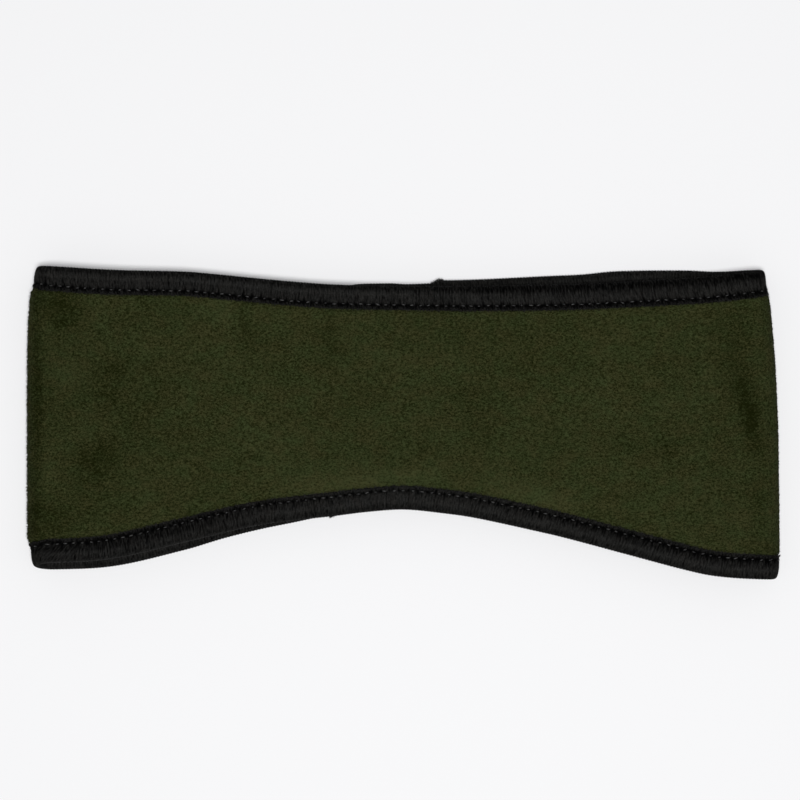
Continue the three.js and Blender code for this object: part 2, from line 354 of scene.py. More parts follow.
def strip_rows(run, from_edge, middle):
    """The places of the rows across the strip: some near its foot edge, some between and some near
    its top edge, with each row's distance from the nearer edge."""
    foot = [in_from_edge(run, 0, np.full(run.shape, d)) for d in from_edge]
    top = [in_from_edge(run, 1, np.full(run.shape, d)) for d in from_edge[::-1]]
    shares = np.linspace(0, 1, middle + 2)[1:-1]
    between = [(mix(foot[-1][0], top[0][0], s), mix(foot[-1][1], top[0][1], s)) for s in shares]
    places = [row[:2] for row in foot] + between + [row[:2] for row in top]
    distance = np.concatenate([from_edge, np.full(middle, from_edge[-1]), from_edge[::-1]])
    return np.array([p[0] for p in places]), np.array([p[1] for p in places]), distance[:, None]


def fleece_face(from_edge, middle, side):
    """The outer face of the fleece, side 1, or its inner face, side -1: rows of points, with their
    shares across it and their distances from its nearer edge."""
    run, across, distance = strip_rows(columns, from_edge, middle)
    point, normal, _, _ = wall_frame(run, across)
    at, _ = loop_place(run)
    foot_half = across < 0.5
    drawn = np.where(foot_half, np.interp(at, *turn_shares[0]), np.interp(at, *turn_shares[1]))
    loft = smooth_step(distance - tape_edge * (1 + drawn), 0, loft_run)
    to_rim = np.sqrt(np.clip(distance / hem_half, rim_share, 1))
    half = mix(hem_half, fleece_half, loft) * to_rim
    half = half - seam_depth * loft * np.exp(-((run_from(run, 0) / seam_groove) ** 2) * 4)
    face = point + side * normal * half[..., None]
    clumps = sum(share * wobble(face, size) for size, share in clump_sizes)
    face = face + side * normal * (clump_depth * loft * clumps)[..., None]
    face[..., 2] = np.maximum(face[..., 2], on_floor)
    return face, across, distance + np.zeros(run.shape)


outer_face, outer_across, outer_distance = fleece_face(hem_rows, outer_middle, 1)
inner_face, _, _ = fleece_face(inner_hem_rows, inner_middle, -1)
section = np.concatenate([outer_face, inner_face[::-1], outer_face[:1]])
fleece_mesh = wall_mesh("brushed_fleece_ring", section, (loop_run, 2 * band_height))


def math_node(tree, operation, *values):
    node = tree.nodes.new("ShaderNodeMath")
    node.operation = operation
    for socket, value in zip(node.inputs, values):
        if isinstance(value, bpy.types.NodeSocket):
            tree.links.new(value, socket)
        else:
            socket.default_value = value
    return node.outputs[0]


def noise_node(tree, vector, scale, detail=3.0, roughness=0.6):
    node = tree.nodes.new("ShaderNodeTexNoise")
    node.inputs["Detail"].default_value = detail
    node.inputs["Roughness"].default_value = roughness
    tree.links.new(vector, node.inputs["Vector"])
    if isinstance(scale, bpy.types.NodeSocket):
        tree.links.new(scale, node.inputs["Scale"])
    else:
        node.inputs["Scale"].default_value = scale
    return node.outputs["Fac"]


def colour_mix(tree, share, low, high):
    node = tree.nodes.new("ShaderNodeMix")
    node.data_type = "RGBA"
    sockets = (node.inputs["Factor"], node.inputs[6], node.inputs[7])  # 6 and 7 are colours A and B
    for socket, value in zip(sockets, (share, low, high)):
        if isinstance(value, bpy.types.NodeSocket):
            tree.links.new(value, socket)
        else:
            socket.default_value = value
    return node.outputs[2]


# How fine the patches, the tints and the fibres are, as shares of the clumps' scale, and how much each
# counts in the shade.
patch_scale, tint_scale, fibre_scale = 0.05, 0.14, 2.2
clump_weight, fibre_weight, patch_weight = 0.43, 0.54, 0.06
middle_shade = 0.515
tint_contrast = 4.0


def mottle_group():
    """Uneven dyed fibres: two shades mixed in patches, clumps and single fibres, a third shade that
    some clumps lean to, and a height for their relief. It serves fleece, tape and thread."""
    group = bpy.data.node_groups.new("mottled_fibres", "ShaderNodeTree")
    sockets = group.interface
    sockets.new_socket("Vector", in_out="INPUT", socket_type="NodeSocketVector")
    for name in ("Dark", "Light", "Tint"):
        sockets.new_socket(name, in_out="INPUT", socket_type="NodeSocketColor")
    for name in ("Clump scale", "Contrast", "Shade"):
        sockets.new_socket(name, in_out="INPUT", socket_type="NodeSocketFloat")
    sockets.new_socket("Color", in_out="OUTPUT", socket_type="NodeSocketColor")
    sockets.new_socket("Height", in_out="OUTPUT", socket_type="NodeSocketFloat")
    given = group.nodes.new("NodeGroupInput")
    result = group.nodes.new("NodeGroupOutput")
    vector, clump_scale = given.outputs["Vector"], given.outputs["Clump scale"]
    patches = noise_node(group, vector, math_node(group, "MULTIPLY", clump_scale, patch_scale), 2.0)
    tints = noise_node(group, vector, math_node(group, "MULTIPLY", clump_scale, tint_scale), 3.0)
    clumps = noise_node(group, vector, clump_scale, 3.0)
    fine = math_node(group, "MULTIPLY", clump_scale, fibre_scale)
    fibres = noise_node(group, vector, fine, 3.0, 0.7)
    clump_share = math_node(group, "MULTIPLY", clumps, clump_weight)
    fibre_share = math_node(group, "MULTIPLY_ADD", fibres, fibre_weight, clump_share)
    blend = math_node(group, "MULTIPLY_ADD", patches, patch_weight, fibre_share)
    blend = math_node(group, "ADD", blend, given.outputs["Shade"])
    spread = math_node(group, "SUBTRACT", blend, middle_shade)
    share = math_node(group, "MULTIPLY_ADD", spread, given.outputs["Contrast"], 0.5)
    share.node.use_clamp = True
    leaning = math_node(group, "SUBTRACT", tints, 0.5)
    tinted = math_node(group, "MULTIPLY_ADD", leaning, tint_contrast, 0.5)
    tinted.node.use_clamp = True
    light = colour_mix(group, tinted, given.outputs["Light"], given.outputs["Tint"])
    colour = colour_mix(group, share, given.outputs["Dark"], light)
    group.links.new(colour, result.inputs["Color"])
    group.links.new(fibre_share, result.inputs["Height"])
    return group


mottled = mottle_group()


def new_material(name, roughness, specular, sheen=0.0):
    material = bpy.data.materials.new(name)
    material.use_nodes = True
    shader = material.node_tree.nodes["Principled BSDF"]
    shader.inputs["Roughness"].default_value = roughness
    shader.inputs["Specular IOR Level"].default_value = specular
    shader.inputs["Sheen Weight"].default_value = sheen
    shader.inputs["Sheen Roughness"].default_value = 0.6
    return material, material.node_tree, shader


def attribute(tree, name):
    node = tree.nodes.new("ShaderNodeAttribute")
    node.attribute_name = name
    return node.outputs["Fac"]


def place_mottle(tree, vector, dark, light, tint, clump_scale, contrast, shade=None):
    node = tree.nodes.new("ShaderNodeGroup")
    node.node_tree = mottled
    tree.links.new(vector, node.inputs["Vector"])
    node.inputs["Dark"].default_value = (*dark, 1)
    node.inputs["Light"].default_value = (*light, 1)
    node.inputs["Tint"].default_value = (*tint, 1)
    if shade:
        tree.links.new(attribute(tree, shade), node.inputs["Shade"])
    node.inputs["Clump scale"].default_value = clump_scale
    node.inputs["Contrast"].default_value = contrast
    return node.outputs["Color"], node.outputs["Height"]


def bump(tree, shader, height, depth):
    node = tree.nodes.new("ShaderNodeBump")
    node.inputs["Distance"].default_value = depth
    tree.links.new(height, node.inputs["Height"])
    tree.links.new(node.outputs["Normal"], shader.inputs["Normal"])


olive_dark = (0.0064, 0.0083, 0.0008)
olive_green = (0.0356, 0.0452, 0.0161)
olive_brown = (0.0418, 0.0432, 0.0161)
pile_clumps = 1500  # a metre
pile_contrast = 6.0
pile_stretch = (0.7, 1, 1)  # the clumps are longer along the band
pile_relief = 0.25 * MM

# Where the front layer is painted darker or lighter than the rest: painted shade in and beside the dents,
# along the left fold and in other patches, and painted light along the arch of the foot edge and in a few
# more.
shade_of_patch = -0.09
patch_size = 3.5 * MM  # of the uneven blots that break up each patch
patch_unevenness = 0.5
front_layer_from = (4 * MM, 8 * MM)  # heights between which the front layer's painted shade and light come in
shaded_patches = [
    (0.912, 0.61, 0.02, 0.06, 1.0),
    (0.928, 0.53, 0.02, 0.06, 1.35),
    (0.943, 0.45, 0.018, 0.05, 0.8),
    (0.885, 0.74, 0.04, 0.14, 0.45),
    (0.946, 0.24, 0.025, 0.12, 0.4),
    (0.72, 0.4, 0.035, 0.07, 0.25),
    (0.66, 0.45, 0.05, 0.08, 0.12),
    (-0.83, 0.33, 0.045, 0.06, 0.5),
    (-0.8, 0.37, 0.04, 0.05, 0.4),
    (-0.79, 0.58, 0.035, 0.05, 0.25),
    (-0.765, 0.66, 0.03, 0.045, 0.55),
    (-0.91, 0.86, 0.045, 0.06, 1.0),
    (-0.418, 0.8, 0.025, 0.13, 0.35),
    (-0.2, 0.77, 0.022, 0.15, 0.28),
    (0.134, 0.84, 0.03, 0.12, 0.2),
    (0.333, 0.75, 0.025, 0.16, 0.2),
    (0.21, 0.38, 0.06, 0.09, 0.15),
    (-0.72, 0.5, 0.13, 0.2, 0.3),
    (-0.979, 0.5, 0.014, 0.6, 0.7),
    (-0.95, 0.13, 0.06, 0.08, 0.6),
    (-0.905, 0.64, 0.03, 0.05, -0.4),
    (-0.946, 0.3, 0.02, 0.04, -0.3),
    (-0.1, 0.12, 0.2, 0.06, -0.6),
    (0.35, 0.12, 0.12, 0.06, -0.6),
    (-0.5, 0.88, 0.05, 0.06, -0.5),
    (-0.93, 0.65, 0.06, 0.4, 0.15),
    (-0.81, 0.2, 0.07, 0.1, 0.2),
    (-0.67, 0.42, 0.07, 0.12, -0.15),
    (-0.33, 0.25, 0.07, 0.12, -0.15),
]


def fleece_material(name, depth):
    material, tree, shader = new_material(name, roughness=0.95, specular=0.04)
    place = tree.nodes.new("ShaderNodeTexCoord").outputs["Object"]
    stretch = tree.nodes.new("ShaderNodeMapping")
    stretch.inputs["Scale"].default_value = pile_stretch
    tree.links.new(place, stretch.inputs["Vector"])
    # The shade mark adds the patches' painted shade and light to the mottle, and each tuft's own tone.
    colour, height = place_mottle(
        tree,
        stretch.outputs["Vector"],
        olive_dark,
        olive_green,
        olive_brown,
        pile_clumps,
        pile_contrast,
        "shade",
    )
    tree.links.new(colour, shader.inputs["Base Color"])
    bump(tree, shader, height, depth)
    return material


def write_shade(mesh, shade):
    marks = mesh.attributes.new("shade", "FLOAT", "POINT")
    marks.data.foreach_set("value", shade.astype(np.float32))


def mark_shade(mesh, spread):
    """Marks how much painted shade or painted light the front layer's patches put at each point, with a
    spread of tone of its own for each of the mesh's tufts."""
    points = np.zeros(len(mesh.vertices) * 3)
    mesh.vertices.foreach_get("co", points)
    points = points.reshape(-1, 3)
    at = points[:, 0] / half_run
    foot, top = fleece_edges(at, 1.0)
    across = (points[:, 1] - foot) / (top - foot)
    above = smooth_step(points[:, 2], *front_layer_from)
    uneven = 1 + patch_unevenness * wobble(points, patch_size)
    patches = soft_patches(shaded_patches, at, across)
    # The patches' painted shade and light, and the spread that is given.
    write_shade(mesh, shade_of_patch * above * uneven * patches + spread)


olive_fleece = fleece_material("olive_fleece", pile_relief)
fleece = new_piece("brushed_fleece_ring", fleece_mesh, olive_fleece)
mark_shade(fleece_mesh, 0)
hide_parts("fleece_band")


# The nap is the brushed pile of the fleece's outer face: short tufts that lean along the band, and
# stand up where the fold spreads them. They grow from the fleece all over between the tapes.
tufts_a_layer = 60000
tuft_length = 0.95 * MM
tuft_lengths = (0.55, 1.25)  # shares of that, from the shortest to the longest
tuft_width = 0.26 * MM
tuft_widths = (0.6, 1.3)
tuft_root = 0.12 * MM  # how deep a tuft's root is sunk in the fleece
nap_under = 0.1 * MM  # how far in under the tape's edge the nap begins
tuft_turn = 0.9  # how far a tuft turns from the band's run, in radians
tuft_stand = (0.32, 0.75)  # how steeply tufts stand on a layer and at the left fold
stand_shares = (0.5, 1.5)
left_fold = (0.955, 0.99)  # where the left fold begins to spread them, and where it is full
fold_length = 1.1  # how much longer they look there
tuft_relief = 0.1 * MM
shade_spread = 0.15  # how much one tuft is darker or lighter than the next
random = np.random.default_rng(7)


def joined_spikes(name, roots, tips, side, other):
    """Spikes from three root points each to one tip, joined in one mesh."""
    count = len(roots)
    corners = np.stack([roots + side, roots - side / 2 + other, roots - side / 2 - other, tips], axis=1)
    base = 4 * np.arange(count)[:, None, None]
    faces = base + np.array([(0, 1, 3), (1, 2, 3), (2, 0, 3)])
    mesh = bpy.data.meshes.new(name)
    mesh.from_pydata(corners.reshape(-1, 3), [], faces.reshape(-1, 3))
    mesh.update()
    return mesh


def nap_mesh(name, low_lift, high_lift, count):
    """Tufts on the part of the outer face between two shares of the lift."""
    cells_run = (columns[:-1] + columns[1:]) / 2
    _, lift = loop_place(cells_run)
    rows_open = np.minimum(outer_distance[:-1], outer_distance[1:]) >= tape_edge - nap_under
    a, b = outer_face[:-1, :-1], outer_face[:-1, 1:]
    c, d = outer_face[1:, 1:], outer_face[1:, :-1]
    area = np.linalg.norm(np.cross(c - a, d - b), axis=-1)
    open_here = rows_open[:, :-1] & (lift >= low_lift) & (lift < high_lift)
    weights = (area * open_here).ravel()
    chosen = random.choice(weights.size, count, p=weights / weights.sum())
    row, column = np.divmod(chosen, area.shape[1])
    u, v = random.random((2, count, 1))
    a, b, c, d = (corner[row, column] for corner in (a, b, c, d))
    point = mix(mix(a, b, u), mix(d, c, u), v)
    normal = unit(np.cross(d - b, c - a))
    lay = unit(b - a)
    off_middle = point - wall_point(cells_run[column], outer_across[row, column])
    normal = normal * np.sign(dot(normal, off_middle))
    aside = np.cross(normal, lay)
    at, _ = loop_place(cells_run[column])
    at_left_fold = smooth_step(-at, *left_fold)[:, None]
    turn = random.normal(0, tuft_turn, (count, 1))
    stand = mix(*tuft_stand, at_left_fold) * random.uniform(*stand_shares, (count, 1))
    direction = unit(lay * np.cos(turn) + aside * np.sin(turn) + normal * stand)
    length = tuft_length * random.uniform(*tuft_lengths, (count, 1)) * mix(1.0, fold_length, at_left_fold)
    width = tuft_width * random.uniform(*tuft_widths, (count, 1))
    roots = point - normal * tuft_root
    side = unit(np.cross(direction, normal)) * width / 2
    other = unit(np.cross(direction, side)) * width / 2
    tips = roots + direction * length
    tips[:, 2] = np.maximum(tips[:, 2], on_floor)
    roots[:, 2] = np.maximum(roots[:, 2], on_floor + tuft_width)
    mesh = joined_spikes(name, roots, tips, side, other)
    mark_shade(mesh, np.repeat(random.normal(0, shade_spread, count), 4))
    return mesh


nap_material = fleece_material("olive_nap", tuft_relief)
nap = [
    new_piece(name, nap_mesh(name, low, high, tufts_a_layer), nap_material)
    for name, low, high in (("front_nap", 0.5, 1.1), ("back_nap", -0.1, 0.5))
]


# Each tape is black elastic, woven with fine ribs across it. It is folded lengthwise round an
# edge of the fleece and sewn down through both flaps. Its cut ends overlap on the back layer.
rib_pitch = 1.04 * MM
rib_depth = 0.1 * MM
columns_per_rib = 4
tape_overlap = 8 * MM
tape_step = 1.3 * MM  # how far the end on the outside stands out past the other
tape_step_run = (3 * MM, 13 * MM)  # where that dies away, on the foot tape and the top one
frayed_run = (0.5 * MM, 2.6 * MM)  # length in which its cut end's frayed corner comes to that
loose_run = 29 * MM  # the stretch before the joint in which the end on the inside stands out a little
loose_end = 8 * MM  # where that is over, before the joint
loose_step = (0, 0.35 * MM)
loose_rise = 3 * MM
over_lift = 0.62 * MM  # how far the end on the outside is spread by the end inside it
over_run = 6 * MM  # past the overlap, the length in which that dies away
under_squeeze = 0.7  # how flat the end inside it is pressed
squeeze_run = 3 * MM

# How much further the tape reaches in on the front layer's outer face than on its inner face, as
# shares of its width at places along the band: on the foot tape and on the top one.
flap_shares = (
    ((-1, 0.5, 0.7, 1), (0.0, 0.02, 0.06, 0.04)),
    (
        (-1, -0.93, -0.85, -0.6, -0.2, 0, 0.3, 0.75, 1),
        (0.04, 0.04, 0.06, 0.03, 0.02, 0.02, 0.08, 0.1, 0.1),
    ),
)
flap_lifts = (0.1, 0.9)  # the lifts between which that comes in

# The foot tape is twisted a little near its left fold, where its ribs lean.
rib_lean = (0.8, 0)
lean_at = -0.94
lean_reach = 0.05

stitch_pitch = 2.9 * MM
stitch_line = 6.25 * MM  # from the tape's fold
needle_depth = 0.14 * MM
needle_sharpness = 16  # how narrow the needle holes are beside the pitch
pucker_depth = 0.06 * MM  # how far each stitch draws the tape's edge in
waver_depth = 0.06 * MM  # how far the tape's edge wanders in its long uneven waves
waver_waves = ((9 * MM, 0), (23 * MM, 1))  # size and start of each
ragged_depth = 0.22 * MM  # how far its cut yarns stand out or are missing
ragged_size = 0.9 * MM
ragged_from = 0.85  # of the tape's width
rib_shade = 0.25  # how much painted shade darkens the hollows between ribs
rib_shades = (0.5, 1.5)  # shares of that, from the palest to the darkest
speckle = 0.27  # how much darker or lighter the tape is from one yarn to the next
blot_shade = 0.5  # how much painted shade it gets, darker or lighter, in small blots beside the stitches
blot_size = 1.1 * MM
blot_reach = 1.3 * MM
section_round = 30 * MM  # the tape's way round its section, for its pattern

# How much more painted shade each tape gets on the front layer than its section's, and painted light
# where the number is negative, by the distance in mm from its fold: at three places along the band, on
# the foot tape and on the top one.
shaded_places = ((-0.6, 0.0, 0.6), (-0.1, 0.1, 0.3))
shade_columns = ("from_fold", "left", "middle", "right")
front_shades = (
    [
        (0.0, -0.3, 0.0, 0.0),
        (1.0, 0.0, 0.05, 0.0),
        (2.2, 0.15, 0.08, 0.0),
        (3.3, 0.33, -0.15, 0.0),
        (4.2, 0.25, -0.3, 0.03),
        (5.0, 0.25, -0.3, 0.22),
        (5.6, 0.0, -0.25, 0.15),
        (6.2, 0.0, -0.35, 0.22),
        (6.9, 0.1, -0.35, -0.15),
        (7.8, 0.0, -0.1, 0.0),
    ],
    [
        (0.0, 0.25, 0.35, 0.45),
        (1.4, 0.1, 0.3, 0.46),
        (2.4, 0.0, 0.25, 0.53),
        (3.0, 0.0, 0.2, 0.38),
        (3.6, 0.05, 0.06, 0.08),
        (4.3, 0.0, -0.08, -0.17),
        (5.2, -0.2, -0.22, -0.25),
        (5.8, -0.25, -0.28, -0.3),
        (6.3, 0.0, 0.0, 0.0),
        (6.9, 0.05, 0.1, 0.15),
        (7.8, 0.0, 0.0, 0.0),
    ],
)

# The tape's section in its own frame: the distance in from its fold and the height over the middle
# of the fleece, for its outer skin and for the skin that lies on the fleece. "turned" is its height
# where the band turns over and stretches it flat. "ribbed" is how much of the rib's depth shows,
# "needle" how much of the needle holes' depth, and "painted_shade_and_speckle" how much painted shade
# the place gets: darkest in the stitches' groove, dark at the fold, palest on the crown where the light
# falls.
section_columns = ("from_fold", "height", "turned", "ribbed", "needle", "painted_shade_and_speckle")
tape_skin = np.array([
    (0.0, 0.0, 0.0, 1, 0, 0.2),
    (0.2, 0.66, 0.72, 1, 0, 0.2),
    (0.6, 1.18, 1.14, 1, 0, 0.32),
    (1.2, 1.62, 1.38, 1, 0, 0.4),
    (2.0, 1.92, 1.5, 1, 0, 0.2),
    (2.9, 2.04, 1.56, 1, 0, 0),
    (3.9, 1.98, 1.56, 1, 0, 0.28),
    (4.8, 1.76, 1.52, 0.9, 0.1, 0.38),
    (5.6, 1.4, 1.48, 0.6, 0.3, 0.6),
    (6.2, 1.16, 1.42, 0.4, 1, 0.95),
    (6.6, 1.22, 1.38, 0.5, 0.6, 0.85),
    (7.1, 1.5, 1.36, 0.8, 0, 0.62),
    (7.6, 1.52, 1.32, 0.8, 0, 0.66),
    (7.8, 1.3, 1.15, 0.6, 0, 0.8),
])
tape_lining = np.array([
    (7.75, 0.95, 0.95, 0, 0, 0.6),
    (6.2, 0.82, 0.95, 0, 0, 0.6),
    (4.4, 1.1, 1.05, 0, 0, 0.6),
    (2.0, 1.12, 1.0, 0, 0, 0.6),
    (1.0, 0.7, 0.7, 0, 0, 0.6),
    (0.75, 0.0, 0.0, 0, 0, 0.6),
])
other_flap = np.array([1, -1, -1, 1, 1, 1])  # the same rows on the flap on the fleece's inner face
tape_section = np.concatenate([
    tape_skin[::-1],
    (tape_skin * other_flap)[1:],
    tape_lining * other_flap,
    tape_lining[-2::-1],
])


def turned_share(lift):
    """How far the band is into its turn: 0 on a layer, 1 in the middle of a fold."""
    return np.sqrt(4 * lift * (1 - lift))


def width_share(edge, side, at, lift):
    """How much wider a tape's flap is than the tape's own half, on the face that side says."""
    front = smooth_step(lift, *flap_lifts)
    return side * front * np.interp(at, *flap_shares[edge]) + np.interp(at, *turn_shares[edge])


def waver(run):
    return waver_depth * sum(np.sin(run / size + start) for size, start in waver_waves)


def over_share(past):
    """How far a tape is spread by its other end inside it, by the run past its joint."""
    return 1 - smooth_step(past, tape_overlap, tape_overlap + over_run)


def out_step(edge, past):
    """How far a tape stands out past the fleece's edge at its joint."""
    loose = smooth_step(past, loop_run - loose_run, loop_run - loose_run + loose_rise)
    loose = loose * (1 - smooth_step(past, loop_run - loose_run / 2, loop_run - loose_end))
    step = tape_step * smooth_step(past, 0, frayed_run[edge]) * np.exp(-past / tape_step_run[edge])
    return step + loose_step[edge] * loose


def front_shade(edge, at, from_fold):
    """How much painted shade a tape gets on the front layer, from its table; below none it is painted
    light.
    """
    shades = dict(zip(shade_columns, np.array(front_shades[edge]).T))
    total = 0
    for index, place in enumerate(shade_columns[1:]):
        near = np.interp(at, shaded_places[edge], np.eye(len(shaded_places[edge]))[index])
        total = total + near * np.interp(from_fold / MM, shades["from_fold"], shades[place])
    return total


def tape_mesh(name, edge, joint):
    tape_run = loop_run + tape_overlap
    ribs = round(tape_run / rib_pitch)
    count = ribs * columns_per_rib
    past = np.linspace(0, tape_run, count + 1)[None, :]
    rows = (len(tape_section), count + 1)
    sizes = (MM, MM, MM, 1, 1, 1)
    parts = dict(zip(section_columns, (column[:, None] for column in (tape_section * sizes).T)))
    from_fold, height = parts["from_fold"], parts["height"]
    at, lift = loop_place(past + joint)
    lean = rib_lean[edge] * lift * np.exp(-(((at - lean_at) / lean_reach) ** 2))
    run = past + joint - lean * (from_fold - tape_width / 2)
    at, lift = loop_place(run)
    rib = np.cos(2 * np.pi * np.arange(count + 1) / columns_per_rib)[None, :]
    needle = np.cos(np.pi * run / stitch_pitch) ** needle_sharpness
    after, before = np.roll(tape_section, -1, axis=0), np.roll(tape_section, 1, axis=0)
    skin_out = unit((after - before)[:, 1::-1] * (1, -1))
    side = np.where(height > 0, 1, -1)
    height = mix(height, parts["turned"], turned_share(lift))
    raised = rib * rib_depth * parts["ribbed"] - needle * needle_depth * parts["needle"]
    pucker = pucker_depth * np.cos(2 * np.pi * run / stitch_pitch) * (from_fold / tape_width) ** 2
    from_fold = from_fold * (1 + width_share(edge, side, at, lift))
    height = height * mix(1.0, under_squeeze, smooth_step(past, loop_run - squeeze_run, loop_run))
    height = height + np.sign(height) * over_lift * over_share(past)
    ragged = wobble(np.stack([run, 0 * run, 0 * run], axis=-1), ragged_size)
    ragged = ragged_depth * ragged * smooth_step(from_fold, ragged_from * tape_width, tape_width)
    from_fold = from_fold + raised * skin_out[:, :1] - pucker + waver(run) + ragged
    height = height + raised * skin_out[:, 1:]
    distance = np.maximum(from_fold - tape_reach, hem_half) + np.zeros(rows)
    past_rim = np.maximum(hem_half + tape_reach - from_fold, 0) + out_step(edge, past)
    place_run, place_across, out = in_from_edge(run, edge, distance)
    point, normal, _, _ = wall_frame(place_run, place_across)
    point = point + normal * height[..., None] + out * past_rim[..., None]
    point[..., 2] = np.maximum(point[..., 2], on_floor)
    # The mark is painted shade: the section's own, more in the hollows between ribs, in the needle holes
    # and in blots beside the stitches, and the front layer's table; the speckle added in is the yarns'
    # own tone.
    rib_spread = np.repeat(random.uniform(*rib_shades, ribs + 1), columns_per_rib)[: count + 1]
    painted_shade_and_speckle = parts["painted_shade_and_speckle"] + (0.5 - 0.5 * rib) * rib_spread * parts["ribbed"] * rib_shade
    painted_shade_and_speckle = painted_shade_and_speckle + needle * parts["needle"] + random.normal(0, speckle, rows)
    beside = np.exp(-(((parts["from_fold"] - stitch_line) / blot_reach) ** 2))
    painted_shade_and_speckle = painted_shade_and_speckle + blot_shade * beside * wobble(point, blot_size)
    painted_shade_and_speckle = painted_shade_and_speckle + lift * front_shade(edge, at, parts["from_fold"])
    section = np.concatenate([point, point[:1]])
    marks = {"painted_shade_and_speckle": np.concatenate([painted_shade_and_speckle, painted_shade_and_speckle[:1]])}
    return wall_mesh(name, section, (tape_run, section_round), marks)


tape_dark = (0.0046, 0.0046, 0.0044)
tape_light = (0.0256, 0.0256, 0.0243)
tape_warm = (0.0266, 0.0256, 0.0237)
# The near black that the tape's painted shade darkens it towards.
tape_painted_shade = (0.0006, 0.0006, 0.0006)
yarn_clumps = 1800  # a metre
yarn_contrast = 3.5
yarn_relief = 0.05 * MM
tape_roughness = 0.6
roughness_in_shade = 0.4  # how much rougher the tape is where its painted shade is darker


def tape_material():
    material, tree, shader = new_material("black_elastic_tape", tape_roughness, specular=0.02)
    place = tree.nodes.new("ShaderNodeTexCoord").outputs["Object"]
    colour, height = place_mottle(
        tree, place, tape_dark, tape_light, tape_warm, yarn_clumps, yarn_contrast
    )
    # Where the mark is high the tape is mixed towards its painted shade colour, and is rougher.
    painted_shade_and_speckle = attribute(tree, "painted_shade_and_speckle")
    colour = colour_mix(tree, painted_shade_and_speckle, colour, (*tape_painted_shade, 1))
    tree.links.new(colour, shader.inputs["Base Color"])
    roughness = math_node(tree, "MULTIPLY_ADD", painted_shade_and_speckle, roughness_in_shade, tape_roughness)
    tree.links.new(roughness, shader.inputs["Roughness"])
    bump(tree, shader, height, yarn_relief)
    return material


tape_black = tape_material()
top_tape = new_piece("top_tape", tape_mesh("top_tape", 1, top_joint), tape_black)
foot_tape = new_piece("foot_tape", tape_mesh("foot_tape", 0, foot_joint), tape_black)
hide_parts("top_binding")
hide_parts("foot_binding")


# The stitches are one row of black thread along each tape, sewn through both of its flaps. Each one
# is a short loop of thread that dives into its needle holes.
thread_radius = 0.2 * MM
stitch_length = 1.65 * MM
stitch_sink = 0.1 * MM
stitch_stray = 0.06 * MM  # how far a stitch strays from its line
stitch_unevenness = 0.13 * MM  # how far it strays from its place along the line
stitch_tilt = 0.2  # how far it leans from the line
stitch_slant = 0.25  # how far its ends lie aside, in thread radii
stitch_dive = 2.2  # how deep they dive, in thread radii
stitch_lengths = (0.6, 1.1)  # shares of its length, from the shortest to the longest


def one_stitch():
    """A stitch that lies along X on z = 0 and bends down at both ends."""
    shape = bmesh.new()
    bmesh.ops.create_uvsphere(shape, u_segments=6, v_segments=7, radius=1)
    bmesh.ops.rotate(shape, verts=shape.verts, matrix=Matrix.Rotation(math.pi / 2, 3, "Y"))
    bmesh.ops.scale(shape, verts=shape.verts, vec=(stitch_length / 2, thread_radius, thread_radius))
    for vertex in shape.verts:
        share = 2 * vertex.co.x / stitch_length
        vertex.co.y += stitch_slant * thread_radius * share
        vertex.co.z -= stitch_dive * thread_radius * share**4
    mesh = bpy.data.meshes.new("stitch")
    shape.to_mesh(mesh)
    shape.free()
    return mesh


stitch = one_stitch()


def joined_copies(name, pattern, places, along, across, up):
    """Copies of a pattern mesh joined in one, each turned so that its X, Y and Z follow the given
    directions at its place."""
    points = np.zeros(len(pattern.vertices) * 3)
    pattern.vertices.foreach_get("co", points)
    points = points.reshape(-1, 3)
    turned = (
        places[:, None]
        + points[None, :, :1] * along[:, None]
        + points[None, :, 1:2] * across[:, None]
        + points[None, :, 2:] * up[:, None]
    )
    faces = [
        [index + copy * len(points) for index in face.vertices]
        for copy in range(len(places))
        for face in pattern.polygons
    ]
    mesh = bpy.data.meshes.new(name)
    mesh.from_pydata(turned.reshape(-1, 3), [], faces)
    mesh.shade_smooth()
    return mesh


def on_flap(run, edge, joint, side, from_fold, above):
    """Places on a tape's flap, on the fleece's outer face, side 1, or its inner face, -1: the points
    at a distance from the tape's fold and a height above its skin, and the directions along the
    tape, off the fleece's edge and up from the flap."""
    at, lift = loop_place(run)
    past = np.mod(run - joint, loop_run)
    skin_at, *skin_heights = tape_skin[:, :3].T
    heights = (np.interp(from_fold / MM, skin_at, skin_height) * MM for skin_height in skin_heights)
    height = mix(*heights, turned_share(lift)) + over_lift * over_share(past) + above
    wide = from_fold * (1 + width_share(edge, side, at, lift)) + waver(run)
    place_run, place_across, out = in_from_edge(run, edge, wide - tape_reach)
    point, normal, along_run, _ = wall_frame(place_run, place_across)
    point = point + side * normal * height[..., None] + out * out_step(edge, past)[..., None]
    return point, unit(along_run), out, side * normal


def stitch_row(name, edge, joint):
    count = round(loop_run / stitch_pitch)
    run = (np.arange(count) + 0.5) * stitch_pitch + random.normal(0, stitch_unevenness, count)
    placed = []
    for side in (1, -1):
        from_fold = stitch_line + random.normal(0, stitch_stray, count)
        above = thread_radius - stitch_sink + random.normal(0, stitch_stray / 2, count)
        point, along, out, up = on_flap(run, edge, joint, side, from_fold, above)
        along = unit(along + out * random.normal(0, stitch_tilt, (count, 1)))
        stretched = along * random.uniform(*stitch_lengths, (count, 1))
        placed.append((point, stretched, np.cross(up, along), up))
    row = joined_copies(name, stitch, *(np.concatenate(parts) for parts in zip(*placed)))
    write_shade(row, np.repeat(random.normal(0, thread_spread, 2 * count), len(stitch.vertices)))
    return row


thread_dark = (0.012, 0.012, 0.012)
thread_light = (0.037, 0.037, 0.036)
thread_spread = 0.32  # how much one stitch is darker or lighter than the next
thread_clumps = 3000  # a metre
thread_contrast = 2.0
thread_relief = 0.04 * MM


